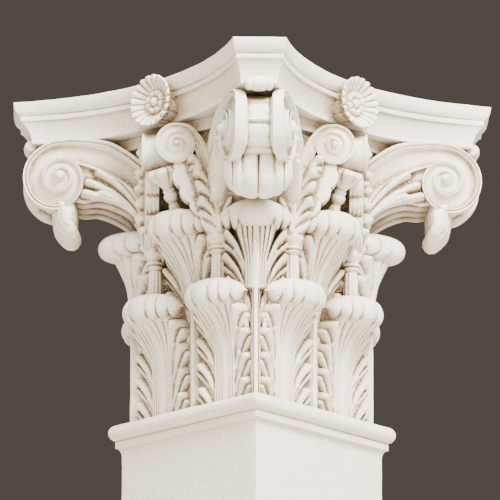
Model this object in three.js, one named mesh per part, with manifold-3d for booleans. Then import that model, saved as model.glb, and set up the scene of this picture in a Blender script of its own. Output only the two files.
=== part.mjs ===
// Corinthian capital for a square pier, on the moulded head of the pier.
//
// Two solids in millimetres, +Z up, origin at the centre of the underside:
//   pier_head  square shaft with apophyge, fillet and torus, cut flat below
//   capital    one block: bell, two rows of leaves, stalks, volutes, helices, fleurons and abacus
//
// Shapes are drawn in modules. One module is half the width of the pier, and heights in modules
// are measured from the bed, the plane where the capital sits on the torus.

import * as THREE from 'three';
import Module from 'manifold-3d';

const MODULE = 150;                 // mm, half the width of the pier
const STUB_HEIGHT = 200;            // mm, underside of the pier head to the bed
const SLIVER = 0.2;                 // mm, slivers thinner than this are dropped where pieces join

const PIER = {
  torusRadius: 0.094, torusCentre: 1.025,
  filletHalf: 1.053, filletTop: -0.188, filletFoot: -0.262,
  apophyge: 0.10,                   // height of the hollow under the fillet
};

const ABACUS = {
  tip: 2.06,                        // half-width to the cut corners
  shoulder: 1.66,                   // half the length of the hollow side
  waist: 1.55,                      // half-width at the middle of a side
  foot: 3.129, coveTop: 3.367, filletTop: 3.425, top: 3.581,
  footInset: 0.21, coveInset: 0.1, coveBend: 1.4, filletInset: 0.08, ovoloInset: 0.092,
  joint: 0.004,                     // height of the sharp steps either side of the fillet
};

const CORE = 0.6;                   // half-width inside which ornaments are lost in the bell

const BELL = {
  foot: 0.86,                       // half-width where the leaves stand
  leafFace: 0.93,                   // half-width over the feet of the leaves
  flareFrom: 1.7, flareTo: 3.14, flareBend: 1.3, flareHalf: 1.21,
  rim: 1.25, rimFoot: 2.99, rimStep: 0.02, rimTop: 3.14,
  levels: [0, 1.7, 2.1, 2.5, 2.8],
  cornerRadius: 0.12, cornerGrowth: 0.25, cornerFrom: 1.5, cornerTo: 3,
};

// Leaf rows: foot of the blade, centre of the rolled tip with its reach and rise, half-width of the
// blade, and its offset along the face or its fold round the corner.
const LOWER_LEAF = {
  foot: 0, rollZ: 1.155, rollOut: 1.17, reach: 0.2, rise: 0.175, half: 0.43, offset: 0.465,
};
const UPPER_LEAF = {
  foot: 0.35, rollZ: 1.995, rollOut: 1.285, reach: 0.2, rise: 0.18, half: 0.45, offset: 0,
};
const CORNER_LEAF = {
  foot: 0.35, rollZ: 1.985, rollOut: 0.985, reach: 0.208, rise: 0.18, half: 0.58, fold: 0.26,
};

// What all the leaves share, as shares of their own sizes where no length is named.
const LEAF = {
  lobes: 3, lobeDepth: 0.2,         // lobes along each side of the blade
  footHalf: 0.74, spread: 1.4,      // half-width at the foot, and how soon the blade reaches its own
  ridges: 3, ridgeDepth: 0.06,
  fall: 0.62,                       // how much less the sides lean out than the middle
  edgeShare: -0.15,                 // puts the edges of the blade into the bell
  neckDrop: 0.72, neckBack: 0.62, neckBend: 4,
  rollFrom: -95, rollTo: 115,       // degrees
  rollTail: 0.3, droop: 0.35,
  base: 0.01,                       // modules inside the foot of the bell
  cornerBlend: 0.1,                 // modules over which a corner leaf takes on its rounded fold
};

// Turned pieces: [share of the length, share of the radius] from foot to head.
const STALK = {
  offset: 0.47, out: 0.93, foot: 1.2, top: 1.93, radius: 0.075,
  shape: [[0, 1.2], [0.616, 1], [0.63, 1.5], [0.712, 1.3], [0.808, 1.75], [1, 1.2]],
};
const BUD = {
  foot: [1.18, 2.1], top: [1.42, 2.62], radius: 0.085,
  shape: [[0, 0.7], [0.35, 1], [0.5, 0.7], [0.62, 1.15], [1, 2.2]],
};

// Corner volutes, in the upright plane along the diagonal: d outwards, z up.
const VOLUTE = {
  eye: [2.112, 2.72], outerRadius: 0.41, shrink: 0.42,
  tipHalf: 0.25, splay: 0.23, tipAt: 2.4,       // half-width at the tip, and its growth inwards
  recess: 0.045, flange: 0.1, flangeSlope: 0.02,
  scrollFrom: -100, scrollTo: 96, scrollGrowth: 0.09,         // degrees, and share of the radius
  root: [[0.7, 2.4], [0.7, 1.9]],
  soffit: [[1.02, 1.86], [1.147, 2.07], [1.27, 2.21], [1.417, 2.337], [1.55, 2.415], [1.667, 2.435],
    [1.85, 2.39]],
  crown: [[1.9, 3.145], [1.555, 3.08], [1.239, 2.85], [1.06, 2.55]],
  crownShare: 0.4,                  // share of an inset that the crown draws back
  spiralShare: 0.55,                // radius of the carved spiral, as a share of the scroll's
};

// Helices, in upright planes that meet at the middle of each face and run back at 45 degrees.
// The cheeks of a helix lie at these distances to the side of the plane through the apex.
const HELIX = {
  apex: 1.52, eye: [0.215, 2.835], outerRadius: 0.225, outerCheek: 0.144, innerCheek: -0.1,
  under: [[0.3, 2.62], [0.4, 2.60], [0.5, 2.44], [0.56, 2.1], [0.75, 2.1]],
  over: [[0.68, 2.52], [0.58, 2.78], [0.44, 2.96], [0.34, 3.04]],
  spiralShare: 0.6,
};

// Band carved on the cheek of a scroll; the taper is its width at the eye.
const SPIRAL = { width: 0.05, taper: 0.4, foot: -0.03, height: 0.025 };

const FLEURON = {
  face: 1.6, back: 1.15, centre: 3.285, radius: 0.285, petals: 16, notch: 0.93,
  dish: 0.05, dishShare: 0.5,
  ring: 0.13, button: 0.07, heartDepth: 0.1, buttonFoot: 0.091, buttonRise: 0.03,
  crown: 0.035, crownRise: 0.045,
};
const CURL = {
  d: 2.06, top: 2.42, foot: 1.97, half: 0.36, depth: 0.17, lobes: 2.5, lobeDepth: 0.08, endShare: 0.06,
};
const KNOB = { d: 2.43, z: 3.125, radius: 0.085, half: 0.15 };

// ---------------------------------------------------------------- mesh helpers

/** Closed body from a stack of equal rings. The outline runs anticlockwise seen from the last ring. */
function loft(rings, outline) {
  const count = rings[0].length;
  const last = (rings.length - 1) * count;
  const index = [];
  for (let r = 0; r + 1 < rings.length; r += 1) {
    for (let i = 0; i < count; i += 1) {
      const a = r * count + i;
      const b = r * count + ((i + 1) % count);
      index.push(a, b, b + count, a, b + count, a + count);
    }
  }
  const contour = outline.map(([x, y]) => new THREE.Vector2(x, y));
  for (const [a, b, c] of THREE.ShapeUtils.triangulateShape(contour, [])) {
    index.push(c, b, a, last + a, last + b, last + c);
  }
  const geometry = new THREE.BufferGeometry();
  geometry.setAttribute('position', new THREE.Float32BufferAttribute(rings.flat(2), 3));
  geometry.setIndex(index);
  return geometry;
}

/** Mirror image in the plane x = 0, with its faces turned the right way again. */
function mirrored(geometry) {
  const copy = geometry.clone().scale(-1, 1, 1);
  const index = Array.from(copy.index.array);
  for (let i = 0; i < index.length; i += 3) [index[i], index[i + 1]] = [index[i + 1], index[i]];
  copy.setIndex(index);
  return copy;
}

/** The piece on each of the four sides. */
function onFourSides(geometry) {
  return [0, 1, 2, 3].map((side) => geometry.clone().rotateZ(side * Math.PI / 2));
}

/** The piece and its mirror image, on each of the four sides. */
function inPairs(geometry) {
  return [...onFourSides(geometry), ...onFourSides(mirrored(geometry))];
}

const wasm = await Module();
wasm.setup();

/** A solid in millimetres, above the bed, from a closed geometry in modules. */
function solid(geometry) {
  const vertProperties = Float32Array.from(geometry.attributes.position.array, (v) => v * MODULE);
  const triVerts = Uint32Array.from(geometry.index.array);
  return new wasm.Manifold(new wasm.Mesh({ numProp: 3, vertProperties, triVerts }));
}

/** A geometry from a solid, raised by the given height. */
function geometryOf(body, raise) {
  const mesh = body.getMesh();
  const geometry = new THREE.BufferGeometry();
  geometry.setAttribute('position', new THREE.Float32BufferAttribute(mesh.vertProperties, 3));
  geometry.setIndex(Array.from(mesh.triVerts));
  return geometry.translate(0, 0, raise);
}

const smooth = (a, b, x) => {
  const t = Math.min(1, Math.max(0, (x - a) / (b - a)));
  return t * t * (3 - 2 * t);
};
const steps = (count, from, to) =>
  Array.from({ length: count + 1 }, (_, i) => from + (to - from) * i / count);
const circle = (sides) =>
  steps(sides, 0, 2 * Math.PI).slice(0, sides).map((a) => [Math.cos(a), Math.sin(a)]);
const radians = (degrees) => degrees * Math.PI / 180;

// ---------------------------------------------------------------- pier head

/** Square rings up the moulded head of the pier: shaft, apophyge, fillet and torus. */
function pierHead() {
  const { torusRadius, torusCentre, filletHalf, filletTop, filletFoot, apophyge } = PIER;
  const profile = [[1, -STUB_HEIGHT / MODULE]];
  for (const t of steps(4, 0, 1)) {
    const angle = t * Math.PI / 2;
    const half = 1 + (filletHalf - 1) * (1 - Math.cos(angle));
    profile.push([half, filletFoot - apophyge * (1 - Math.sin(angle))]);
  }
  profile.push([filletHalf, filletTop]);
  for (const angle of steps(8, -Math.PI / 2, Math.PI / 2)) {
    const half = torusCentre + torusRadius * Math.cos(angle);
    profile.push([half, -torusRadius + torusRadius * Math.sin(angle)]);
  }
  const square = (half) => [[-half, -half], [half, -half], [half, half], [-half, half]];
  return loft(profile.map(([half, z]) => square(half).map(([x, y]) => [x, y, z])), square(1));
}

// ---------------------------------------------------------------- bell and abacus

/** Square with rounded corners, anticlockwise. */
function roundedSquare(half, radius) {
  const points = [];
  for (let corner = 0; corner < 4; corner += 1) {
    for (const angle of steps(2, -Math.PI / 2, 0)) {
      const x = half - radius + radius * Math.cos(angle);
      const y = -half + radius + radius * Math.sin(angle);
      points.push([[x, y], [-y, x], [-x, -y], [y, -x]][corner]);
    }
  }
  return points;
}

/** Half-width of the bare bell at a height: upright, then flaring to the rim. */
function bellHalf(z) {
  const { foot, flareHalf, flareFrom, flareTo, flareBend } = BELL;
  return foot + (flareHalf - foot) * smooth(flareFrom, flareTo, z) ** flareBend;
}

/** The bell with its rim band under the abacus. */
function bell() {
  const { cornerRadius, cornerGrowth, cornerFrom, cornerTo } = BELL;
  const levels = [...BELL.levels, BELL.rimFoot].map((z) => [z, bellHalf(z)]);
  levels.push([BELL.rimFoot + BELL.rimStep, BELL.rim], [BELL.rimTop, BELL.rim]);
  const ring = ([z, half]) =>
    roundedSquare(half, cornerRadius + cornerGrowth * smooth(cornerFrom, cornerTo, z));
  return loft(levels.map((level) => ring(level).map(([x, y]) => [x, y, level[0]])), ring(levels[0]));
}

/** Plan of the abacus: four hollow sides and cut corners, anticlockwise. */
function abacusPlan(inset) {
  const tip = ABACUS.tip - inset;
  const shoulder = ABACUS.shoulder - inset * (Math.SQRT2 - 1);
  const sag = ABACUS.tip - ABACUS.waist;
  const radius = (shoulder ** 2 + sag ** 2) / (2 * sag);
  const points = [];
  for (let side = 0; side < 4; side += 1) {
    for (const x of steps(8, -shoulder, shoulder)) {
      const y = -(tip - sag + radius - Math.sqrt(radius ** 2 - x ** 2));
      points.push([[x, y], [-y, x], [-x, -y], [y, -x]][side]);
    }
  }
  return points;
}

/** The abacus: cove, fillet and ovolo carried round the plan. */
function abacus() {
  const { foot, coveTop, filletTop, top, footInset, coveInset, filletInset, joint } = ABACUS;
  const profile = [];
  for (const t of steps(3, 0, 1)) {
    const bend = Math.cos(t * Math.PI / 2) ** ABACUS.coveBend;
    profile.push([coveInset + (footInset - coveInset) * bend, foot + (coveTop - foot) * t]);
  }
  profile.push([filletInset, coveTop + joint], [filletInset, filletTop]);
  const ovoloFoot = filletTop + joint;
  profile.push([ABACUS.ovoloInset, ovoloFoot]);
  for (const t of [1 / 3, 2 / 3, 1]) {
    profile.push([filletInset * (1 - Math.sin(t * Math.PI / 2)), ovoloFoot + (top - ovoloFoot) * t]);
  }
  return loft(profile.map(([inset, z]) => abacusPlan(inset).map(([x, y]) => [x, y, z])), abacusPlan(0));
}

// ---------------------------------------------------------------- leaves

/** Side view of a leaf: blade up the bell, neck leaning out, roll over the top and back. */
function leafProfile({ foot, rollZ, rollOut, reach, rise }) {
  const face = BELL.leafFace;
  const neckZ = rollZ - rise * LEAF.neckDrop;
  const neckOut = rollOut - reach * LEAF.neckBack;
  const path = [[CORE, foot]];
  for (const t of steps(5, 0, 1)) {
    path.push([face + (neckOut - face) * t ** LEAF.neckBend, foot + (neckZ - foot) * t]);
  }
  for (const a of steps(5, radians(LEAF.rollFrom), radians(LEAF.rollTo))) {
    path.push([rollOut + reach * Math.cos(a), rollZ + rise * Math.sin(a)]);
  }
  path.push([CORE, rollZ + rise * LEAF.rollTail]);
  return path;
}

/** Where a station across the leaf lies: its share of the projection, and the lobed half-width. */
function leafStation(across, alongBlade, spec) {
  const { lobes, lobeDepth, footHalf, spread, ridges, ridgeDepth, fall, edgeShare } = LEAF;
  const notch = alongBlade < 1 ? lobeDepth * Math.abs(Math.sin(Math.PI * lobes * alongBlade)) : 0;
  const half = spec.half * (footHalf + (1 - footHalf) * Math.min(1, alongBlade * spread)) * (1 - notch);
  const ridge = 1 - ridgeDepth * (Math.round(Math.abs(across) * ridges) % 2);
  const atEdge = Math.abs(across) === 1;
  return { x: across * half, share: atEdge ? edgeShare : (1 - fall * across ** 2) * ridge };
}

/** One leaf. place(x, out, z) puts a point x along the wall and out from the axis into the plan. */
function leaf(spec, place) {
  const profile = leafProfile(spec);
  const base = BELL.foot - LEAF.base;
  const bladeTop = spec.rollZ - spec.rise;
  const rings = steps(6, 1, -1).map((across) => profile.map(([out, z]) => {
    const alongBlade = Math.min(1, (z - spec.foot) / (bladeTop - spec.foot));
    const { x, share } = leafStation(across, alongBlade, spec);
    const drawnIn = out < base ? out : base + (out - base) * share;
    const sink = z > bladeTop ? (spec.rollZ - z) * LEAF.droop * across ** 2 : 0;
    return place(x, drawnIn, z + sink);
  }));
  return loft(rings, profile.map(([out, z]) => [out, z]));
}

const onFace = (offset) => (x, out, z) => [offset + x, -out, z];

/** Folded round a corner of the wall with a rounded edge. */
function roundCorner(x, out, z) {
  const a = CORNER_LEAF.fold;
  const bulge = smooth(BELL.foot, BELL.leafFace + LEAF.cornerBlend, out);
  const half = out + a * (1 - Math.SQRT1_2) * bulge;
  if (x <= -a) return [half + x, -half, z];
  if (x >= a) return [half, -half + x, z];
  const angle = -Math.PI / 2 + (x + a) / (2 * a) * Math.PI / 2;
  return [half - a + a * Math.cos(angle), -half + a + a * Math.sin(angle), z];
}

// ---------------------------------------------------------------- stalks and buds

/** Round body on a leaning axis from foot to head, both [x, y, z], with its shape along the axis. */
function turnedPiece(foot, head, radius, shape) {
  const outline = circle(6);
  const rings = shape.map(([t, share]) => outline.map(([c, s]) => [
    foot[0] + (head[0] - foot[0]) * t + radius * share * c,
    foot[1] + (head[1] - foot[1]) * t + radius * share * s,
    foot[2] + (head[2] - foot[2]) * t,
  ]));
  return loft(rings, outline);
}

/** Fluted stalk with its collar and the cup above, beside the middle leaf. */
function stalk() {
  const { offset, out, foot, top, radius, shape } = STALK;
  return turnedPiece([offset, -out, foot], [offset, -out, top], radius, shape);
}

/** Bud between the helices, leaning out from behind the middle leaf. */
function bud() {
  const { foot, top, radius, shape } = BUD;
  return turnedPiece([0, -foot[0], foot[1]], [0, -top[0], top[1]], radius, shape);
}

// ---------------------------------------------------------------- volutes and helices

/** Half-width of a corner volute at a distance along the diagonal. */
const voluteHalf = (d) => VOLUTE.tipHalf + VOLUTE.splay * Math.max(0, VOLUTE.tipAt - d);

/** Outer edge of the arm and scroll in the diagonal plane, from the bell over the top to the soffit. */
function voluteOutline(inset) {
  const { eye: [ed, ez], outerRadius, scrollFrom, scrollTo, scrollGrowth, crownShare } = VOLUTE;
  const radius = outerRadius - inset;
  const scroll = steps(9, scrollFrom, scrollTo).map((deg) => {
    const grown = radius * (1 - scrollGrowth * (scrollTo - deg) / (scrollTo - scrollFrom));
    return [ed + grown * Math.cos(radians(deg)), ez + grown * Math.sin(radians(deg))];
  });
  const crown = VOLUTE.crown.map(([d, z]) => [d - inset * crownShare, z - inset]);
  return [...VOLUTE.root, ...VOLUTE.soffit, ...scroll, ...crown];
}

/** Corner volute: arm, scroll and soffit between two flanges, with a sunk band along its edge. */
function volute() {
  const full = voluteOutline(0);
  const sunk = voluteOutline(VOLUTE.recess);
  const ring = (outline, side, flange) => outline.map(([d, z]) =>
    diagonalPoint(d, side * (voluteHalf(d) - flange), z));
  const { flange, flangeSlope } = VOLUTE;
  const floor = flange + flangeSlope;
  return loft([ring(full, 1, 0), ring(full, 1, flange), ring(sunk, 1, floor),
    ring(sunk, -1, floor), ring(full, -1, flange), ring(full, -1, 0)], full);
}

/** A point at d along the diagonal of the front right corner, off to one side, at height z. */
function diagonalPoint(d, side, z) {
  return [(d + side) * Math.SQRT1_2, (side - d) * Math.SQRT1_2, z];
}

/** Points of a spiral from the top of a scroll inwards, clockwise for hand 1, each with its radius. */
function spiralPath([u, v], outerRadius, hand, count) {
  return steps(count, 0, 1).map((turn) => {
    const radius = outerRadius * VOLUTE.shrink ** turn;
    const angle = turn * 2 * Math.PI;
    return [u + hand * radius * Math.sin(angle), v + radius * Math.cos(angle), radius];
  });
}

/** Raised band along a spiral. place(u, v, height) puts a point of the band into space. */
function spiralBand(path, place) {
  const { width, taper, foot, height } = SPIRAL;
  const rings = path.map(([u, v, radius], i) => {
    const [u0, v0] = path[Math.max(0, i - 1)];
    const [u1, v1] = path[Math.min(path.length - 1, i + 1)];
    const length = Math.hypot(u1 - u0, v1 - v0);
    const half = width * (taper + radius);
    return [[-half, foot], [half, foot], [half, height], [-half, height]].map(([across, side]) =>
      place(u - across * (v1 - v0) / length, v + across * (u1 - u0) / length, side));
  });
  return loft(rings, [[-1, 0], [1, 0], [1, 1], [-1, 1]]);
}

/** Spiral on one cheek of a corner volute. */
function voluteSpiral() {
  const path = spiralPath(VOLUTE.eye, VOLUTE.outerRadius * VOLUTE.spiralShare, 1, 8);
  return spiralBand(path, (d, z, side) => diagonalPoint(d, -voluteHalf(d) - side, z));
}

/** Lobed tip that hangs and curls in under a corner volute. */
function curl() {
  const { d, top, foot, half, depth, lobes, lobeDepth, endShare } = CURL;
  const rings = steps(5, 1, -1).map((across) => {
    const groove = lobeDepth * (Math.round((across + 1) * lobes) % 2);
    const size = Math.sqrt(Math.max(endShare, 1 - across ** 2)) * (1 - groove);
    return circle(8).map(([c, s]) => diagonalPoint(
      d + depth * size * c, across * half, (top + foot) / 2 + (top - foot) / 2 * size * s));
  });
  return loft(rings, circle(8));
}

/** Little roll on top of each volute, against the cut corner of the abacus. */
function knob() {
  const { d, z, radius, half } = KNOB;
  const ring = (side) =>
    circle(8).map(([c, s]) => diagonalPoint(d + radius * c, side * half, z + radius * s));
  return loft([ring(1), ring(-1)], circle(8));
}

/** A point of the right-hand helix: e back from the apex at 45 degrees, side across its plane. */
function helixPoint(e, side, z) {
  return [(e + side) * Math.SQRT1_2, -HELIX.apex + (e - side) * Math.SQRT1_2, z];
}

/** The scroll and band of one helix as a thick plate that runs back into the bell. */
function helix() {
  const { eye: [ee, ez], outerRadius, under, over, innerCheek, outerCheek } = HELIX;
  const scroll = steps(8, Math.PI / 2, 1.5 * Math.PI)
    .map((a) => [ee + outerRadius * Math.cos(a), ez + outerRadius * Math.sin(a)]);
  const outline = [...scroll, ...under, ...over];
  const ring = (side) => outline.map(([e, z]) => helixPoint(e, side, z));
  return loft([ring(innerCheek), ring(outerCheek)], outline);
}

/** Spiral on the outer cheek of a helix. */
function helixSpiral() {
  const path = spiralPath(HELIX.eye, HELIX.outerRadius * HELIX.spiralShare, -1, 6);
  return spiralBand(path, (e, z, side) => helixPoint(e, HELIX.outerCheek + side, z));
}

// ---------------------------------------------------------------- fleurons

/** Ridged flower at the middle of each side of the abacus, with its fluted body behind. */
function fleuron() {
  const { face, back, centre, radius, petals, notch, dish, dishShare } = FLEURON;
  const outline = circle(petals * 2).map(([c, s], i) => {
    const r = radius * (i % 2 ? notch : 1);
    return [r * c, r * s];
  });
  const ring = (out, size) => outline.map(([x, z]) => [x * size, -out, centre + z * size]);
  return loft([ring(back, 1), ring(face, 1), ring(face - dish, dishShare)], outline);
}

/** Ring and button at the heart of the flower. */
function fleuronHeart() {
  const { face, centre, ring, button, heartDepth, buttonFoot, buttonRise, crown, crownRise } = FLEURON;
  const outline = circle(10);
  const level = (out, size) => outline.map(([x, z]) => [x * size, -out, centre + z * size]);
  return loft([level(face - heartDepth, ring), level(face, ring), level(face, buttonFoot),
    level(face + buttonRise, button), level(face + crownRise, crown)], outline);
}

// ---------------------------------------------------------------- assembly

const lowerLeaves = inPairs(leaf(LOWER_LEAF, onFace(LOWER_LEAF.offset)));
const middleLeaves = onFourSides(leaf(UPPER_LEAF, onFace(UPPER_LEAF.offset)));
const cornerLeaves = onFourSides(leaf(CORNER_LEAF, roundCorner));
const corners = [volute(), curl(), knob()].flatMap(onFourSides);
const faces = [bud(), fleuron(), fleuronHeart()].flatMap(onFourSides);
const paired = [stalk(), helix(), helixSpiral(), voluteSpiral()].flatMap(inPairs);

const leaves = [...lowerLeaves, ...middleLeaves, ...cornerLeaves];
const block = [bell(), abacus(), ...leaves, ...corners, ...faces, ...paired]
  .map(solid)
  .reduce((sum, piece) => sum.add(piece))
  .asOriginal()
  .simplify(SLIVER);

const stone = (name, color) =>
  new THREE.MeshStandardMaterial({ name, color, roughness: 0.85, metalness: 0 });
const castStone = stone('cast stone', 0xe6e0d6);
const pierStone = stone('pier stone', 0xe3ddd2);

const capitalMesh = new THREE.Mesh(geometryOf(block, STUB_HEIGHT), castStone);
capitalMesh.name = 'capital';
const pierMesh = new THREE.Mesh(geometryOf(solid(pierHead()), STUB_HEIGHT), pierStone);
pierMesh.name = 'pier_head';

const part = new THREE.Group();
part.name = 'corinthian_capital';
part.add(pierMesh, capitalMesh);

export default part;
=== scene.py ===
"""Corinthian capital of cast stone on the moulded head of a square pier.

Every ornament is carved once, in modules above the bed of the capital, and repeated round the
block. One module is half the width of the pier. A carving is made of closed surfaces: grids of
points that a formula gives for two parameters. The frame sets the module and the bed's height.
"""
import logging
import math
from dataclasses import dataclass, field
from enum import Enum
from typing import Any, Callable, Sequence

import bmesh
import bpy
import numpy as np
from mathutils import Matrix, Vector


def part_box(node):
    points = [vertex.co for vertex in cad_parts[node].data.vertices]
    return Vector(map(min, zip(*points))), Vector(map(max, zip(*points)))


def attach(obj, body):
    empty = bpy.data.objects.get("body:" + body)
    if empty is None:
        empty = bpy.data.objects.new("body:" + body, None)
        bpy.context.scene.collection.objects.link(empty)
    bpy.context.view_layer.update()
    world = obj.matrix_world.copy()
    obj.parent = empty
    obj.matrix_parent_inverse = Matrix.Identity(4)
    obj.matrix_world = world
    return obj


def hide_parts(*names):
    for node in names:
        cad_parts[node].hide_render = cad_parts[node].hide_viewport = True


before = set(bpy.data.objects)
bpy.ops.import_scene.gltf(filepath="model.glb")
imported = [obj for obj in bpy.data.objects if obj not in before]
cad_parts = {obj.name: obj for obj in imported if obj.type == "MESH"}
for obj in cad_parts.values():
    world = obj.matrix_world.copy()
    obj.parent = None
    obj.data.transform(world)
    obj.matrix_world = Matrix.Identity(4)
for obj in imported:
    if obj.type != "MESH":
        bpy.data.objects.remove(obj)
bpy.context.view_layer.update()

LOG = logging.getLogger("capital")

Array = np.ndarray
Place = Callable[[Array, Array, Array], Array]
Width = Callable[[Array], Array]
Pair = tuple[float, float]
Colour = tuple[float, float, float, float]

ABACUS_TOP = 3.581          # top of the abacus above the bed, in modules
PIER_LENGTH = 4 / 3         # length of pier below the bed, in modules
ROOT_HALF = math.sqrt(0.5)
QUARTER_TURN = np.array([[0, 1], [-1, 0]])
WELD = 1e-5                 # points closer than this, in modules, are one
HOLLOW_DEPTH = 0.006        # depth of a hollow that counts as fully hollow, in modules
SCREEN_PLACES = 600_000     # places that stand for the whole surface when recesses are looked for
SCATTER_SEED = 7
SWELLS = ((0.00035, 0.07, 3), (0.00018, 0.02, 5))   # height and wave in metres, and seed


# ---------------------------------------------------------------- numbers and curves


def smooth(low: float, high: float, x: Array) -> Array:
    """Eased step from 0 at low to 1 at high: 3t^2 - 2t^3."""
    t = np.clip((x - low) / (high - low), 0, 1)
    return t * t * (3 - 2 * t)


def faded(x: Array, margin: float) -> Array:
    """1 in the middle of 0 to 1, eased to 0 at both ends over a margin."""
    return smooth(0, margin, x) * (1 - smooth(1 - margin, 1, x))


def crest(x: Array, centre: float, width: float) -> Array:
    """Soft ridge of height 1: the exponential of minus the squared distance over the width."""
    return np.exp(-((x - centre) / width) ** 2)


def dome(q: Array) -> Array:
    """Round back over -1 to 1: the square root of 1 - q^2, and 0 outside."""
    return np.sqrt(np.clip(1 - q * q, 0, 1))


def arches(x: Array) -> Array:
    """Row of round arches, one for each whole step of x, 0 at the whole numbers."""
    return dome(2 * (x % 1) - 1)


def through(points: Sequence[Sequence[float]], count: int) -> Array:
    """Smooth curve through points, a Catmull-Rom spline, with its points evenly spaced.

    Args:
        points: the points that the curve passes through.
        count: how many points the result has.

    Returns:
        An array of count rows.
    """
    given = np.asarray(points, float)
    ends = np.vstack([2 * given[0] - given[1], given, 2 * given[-1] - given[-2]])
    pieces = len(given) - 1
    place = np.linspace(0, pieces, 24 * pieces + 1)
    index = np.minimum(place.astype(int), pieces - 1)
    t = (place - index)[:, None]
    a, b, c, d = ends[index], ends[index + 1], ends[index + 2], ends[index + 3]
    curve = 0.5 * (2 * b + (c - a) * t + (2 * a - 5 * b + 4 * c - d) * t**2
                   + (3 * b - a - 3 * c + d) * t**3)
    steps = np.linalg.norm(np.diff(curve, axis=0), axis=1)
    length = np.concatenate([[0], np.cumsum(steps)])
    wanted = np.linspace(0, length[-1], count)
    return np.stack([np.interp(wanted, length, column) for column in curve.T], 1)


def grid(rows: int, cols: int, low: float = 0.0, high: float = 1.0) -> tuple[Array, Array]:
    """Two parameters on a grid: 0 to 1 down the rows, and low to high along them."""
    return tuple(np.meshgrid(np.linspace(0, 1, rows), np.linspace(low, high, cols), indexing="ij"))


def angles(count: int) -> Array:
    """Angles evenly round a full turn, as one row."""
    return np.linspace(0, 2 * math.pi, count + 1)[:-1][None]


def headings(line: Array) -> Array:
    """Unit vectors along a line of points."""
    along = np.gradient(line, axis=0)
    return along / np.linalg.norm(along, axis=1)[:, None]


def undulation(points: Array, wave: float, seed: int) -> Array:
    """Gentle random swelling in space, about -1 to 1: a mean of sine waves in random directions.

    Args:
        points: places, three numbers each.
        wave: length of the waves.
        seed: seed of the directions and phases.

    Returns:
        One value for each place.
    """
    random = np.random.default_rng(seed)
    waves = random.normal(size=(3, 9)) * 2 * math.pi / wave / math.sqrt(3)
    return np.sin(points @ waves + random.uniform(0, 2 * math.pi, 9)).sum(-1) / 4


# ---------------------------------------------------------------- places in the block


@dataclass(frozen=True)
class Setting:
    """Where the capital stands: the size of a module and the height of the bed, in metres."""

    module: float
    bed: float

    @classmethod
    def from_frame(cls) -> "Setting":
        """Module and bed worked out from the frame's capital."""
        low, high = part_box("capital")
        return cls(module=(high[2] - low[2]) / ABACUS_TOP, bed=low[2])

    def metres(self, points: Array) -> Array:
        """Points in modules above the bed, turned into metres."""
        return points * self.module + np.array([0, 0, self.bed])


def on_face(offset: float) -> Place:
    """Place on the front face: across to the right, out from the axis, and up."""
    return lambda across, out, z: np.stack(np.broadcast_arrays(offset + across, -out, z), -1)


def round_corner(fold: float) -> Place:
    """Place folded round the front right corner: straight beyond the fold, an arc within it.

    Args:
        fold: distance across, on each side of the corner, that the arc takes up.

    Returns:
        The function of across, out and z.
    """

    def place(across: Array, out: Array, z: Array) -> Array:
        """Across, out and up, bent round the corner's arc."""
        across, out, z = np.broadcast_arrays(across, out, z)
        half = out + fold * (1 - ROOT_HALF)
        angle = (np.clip(across / fold, -1, 1) - 1) * math.pi / 4
        x = half - fold + fold * np.cos(angle) + np.minimum(across + fold, 0)
        y = -half + fold + fold * np.sin(angle) + np.maximum(across - fold, 0)
        return np.stack([x, y, z], -1)

    return place


def on_diagonal(d: Array, side: Array, z: Array) -> Array:
    """Place in the upright plane through the front right corner: d out, side to the right, z up."""
    d, side, z = np.broadcast_arrays(d, side, z)
    return np.stack([(d + side) * ROOT_HALF, (side - d) * ROOT_HALF, z], -1)


def on_helix(apex: float, shift: float) -> Place:
    """Place in the right helix's plane: back from the apex at 45 degrees, side outwards, z up."""

    def place(e: Array, side: Array, z: Array) -> Array:
        """Distance back, to the side and up, turned by 45 degrees."""
        e, side, z = np.broadcast_arrays(e, side + shift, z)
        return np.stack([(e + side) * ROOT_HALF, -apex + (e - side) * ROOT_HALF, z], -1)

    return place


class Repeat(Enum):
    """How a carving is repeated round the block."""

    ONCE = "once"
    SIDES = "on each of the four sides"
    PAIRS = "with its mirror image, on each of the four sides"


# ---------------------------------------------------------------- carving


NO_TRIANGLES = np.zeros((0, 3), int)


def filled_mesh(name: str, points: Array, quads: Array, triangles: Array) -> bpy.types.Mesh:
    """Mesh from arrays of points, four-sided faces and triangles."""
    mesh = bpy.data.meshes.new(name)
    mesh.vertices.add(len(points))
    mesh.vertices.foreach_set("co", points.astype(np.float32).ravel())
    corners = np.concatenate([quads.ravel(), triangles.ravel()]).astype(np.int32)
    totals = np.concatenate([np.full(len(quads), 4), np.full(len(triangles), 3)]).astype(np.int32)
    mesh.loops.add(len(corners))
    mesh.loops.foreach_set("vertex_index", corners)
    mesh.polygons.add(len(totals))
    mesh.polygons.foreach_set("loop_start", (np.cumsum(totals) - totals).astype(np.int32))
    mesh.update(calc_edges=True)
    return mesh


def values_of(items: Any, name: str, width: int = 1, kind: type = np.int32) -> Array:
    """One property of all items of a collection, as rows of a width, or flat where it is 1."""
    values = np.empty(len(items) * width, kind)
    items.foreach_get(name, values)
    return values.reshape(-1, width) if width > 1 else values


def mesh_arrays(mesh: bpy.types.Mesh) -> tuple[Array, Array, Array]:
    """Points, quads and triangles of a mesh."""
    corners = values_of(mesh.loops, "vertex_index")
    starts, totals = (values_of(mesh.polygons, name) for name in ("loop_start", "loop_total"))
    quads, triangles = (corners[starts[totals == n][:, None] + np.arange(n)] for n in (4, 3))
    return values_of(mesh.vertices, "co", 3, np.float32).astype(float), quads, triangles


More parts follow.
